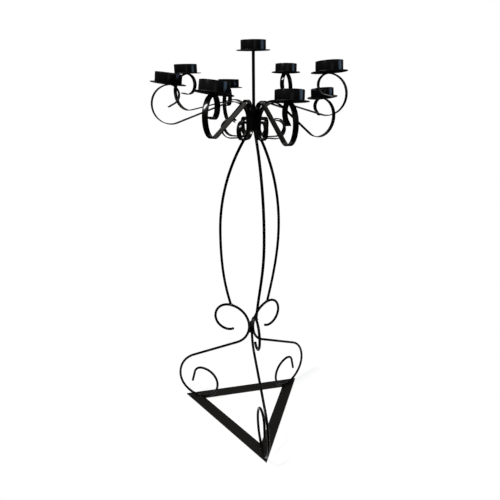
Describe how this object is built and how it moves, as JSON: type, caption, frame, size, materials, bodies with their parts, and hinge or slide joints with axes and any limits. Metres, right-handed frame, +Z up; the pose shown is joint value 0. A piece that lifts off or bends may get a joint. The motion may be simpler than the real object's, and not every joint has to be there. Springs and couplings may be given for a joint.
{
  "type": "torchere candle stand",
  "caption": "Floor-standing candle stand of bent rod and flat strip: triangular bar base, scrolled legs, bowed cage, and scrolled arms with pillar candle cups around a raised centre cup.",
  "frame": {"origin": "on the floor under the stem, at the centre of the triangular base", "axes": "+Z up along the stem, -Y towards the front corner of the base"},
  "size_m": [0.659, 0.751, 1.4448],
  "materials": {
    "frame_paint": "satin black paint",
    "bar_paint": "satin black paint, worn dull on the upper faces",
    "plate_paint": "satin black paint",
    "cup_paint": "semi-gloss black paint"
  },
  "bodies": {
    "root": {"base_bar_1": "bar_paint", "base_bar_2": "bar_paint", "base_bar_3": "bar_paint", "leg_1": "frame_paint", "leg_2": "frame_paint", "leg_3": "frame_paint", "bow_1": "frame_paint", "bow_2": "frame_paint", "bow_3": "frame_paint", "hub_core": "frame_paint", "stem_rod": "frame_paint", "arm_1": "frame_paint", "arm_2": "frame_paint", "arm_3": "frame_paint", "arm_4": "frame_paint", "arm_5": "frame_paint", "arm_6": "frame_paint", "arm_7": "frame_paint", "arm_8": "frame_paint", "drip_plate_0": "plate_paint", "drip_plate_1": "plate_paint", "drip_plate_2": "plate_paint", "drip_plate_3": "plate_paint", "drip_plate_4": "plate_paint", "drip_plate_5": "plate_paint", "drip_plate_6": "plate_paint", "drip_plate_7": "plate_paint", "drip_plate_8": "plate_paint", "candle_cup_0": "cup_paint", "candle_cup_1": "cup_paint", "candle_cup_2": "cup_paint", "candle_cup_3": "cup_paint", "candle_cup_4": "cup_paint", "candle_cup_5": "cup_paint", "candle_cup_6": "cup_paint", "candle_cup_7": "cup_paint", "candle_cup_8": "cup_paint", "foot_welds": "frame_paint", "waist_weld": "frame_paint", "bow_welds": "frame_paint", "hub_welds": "frame_paint", "cup_welds": "frame_paint"}
  },
  "joints": []
}
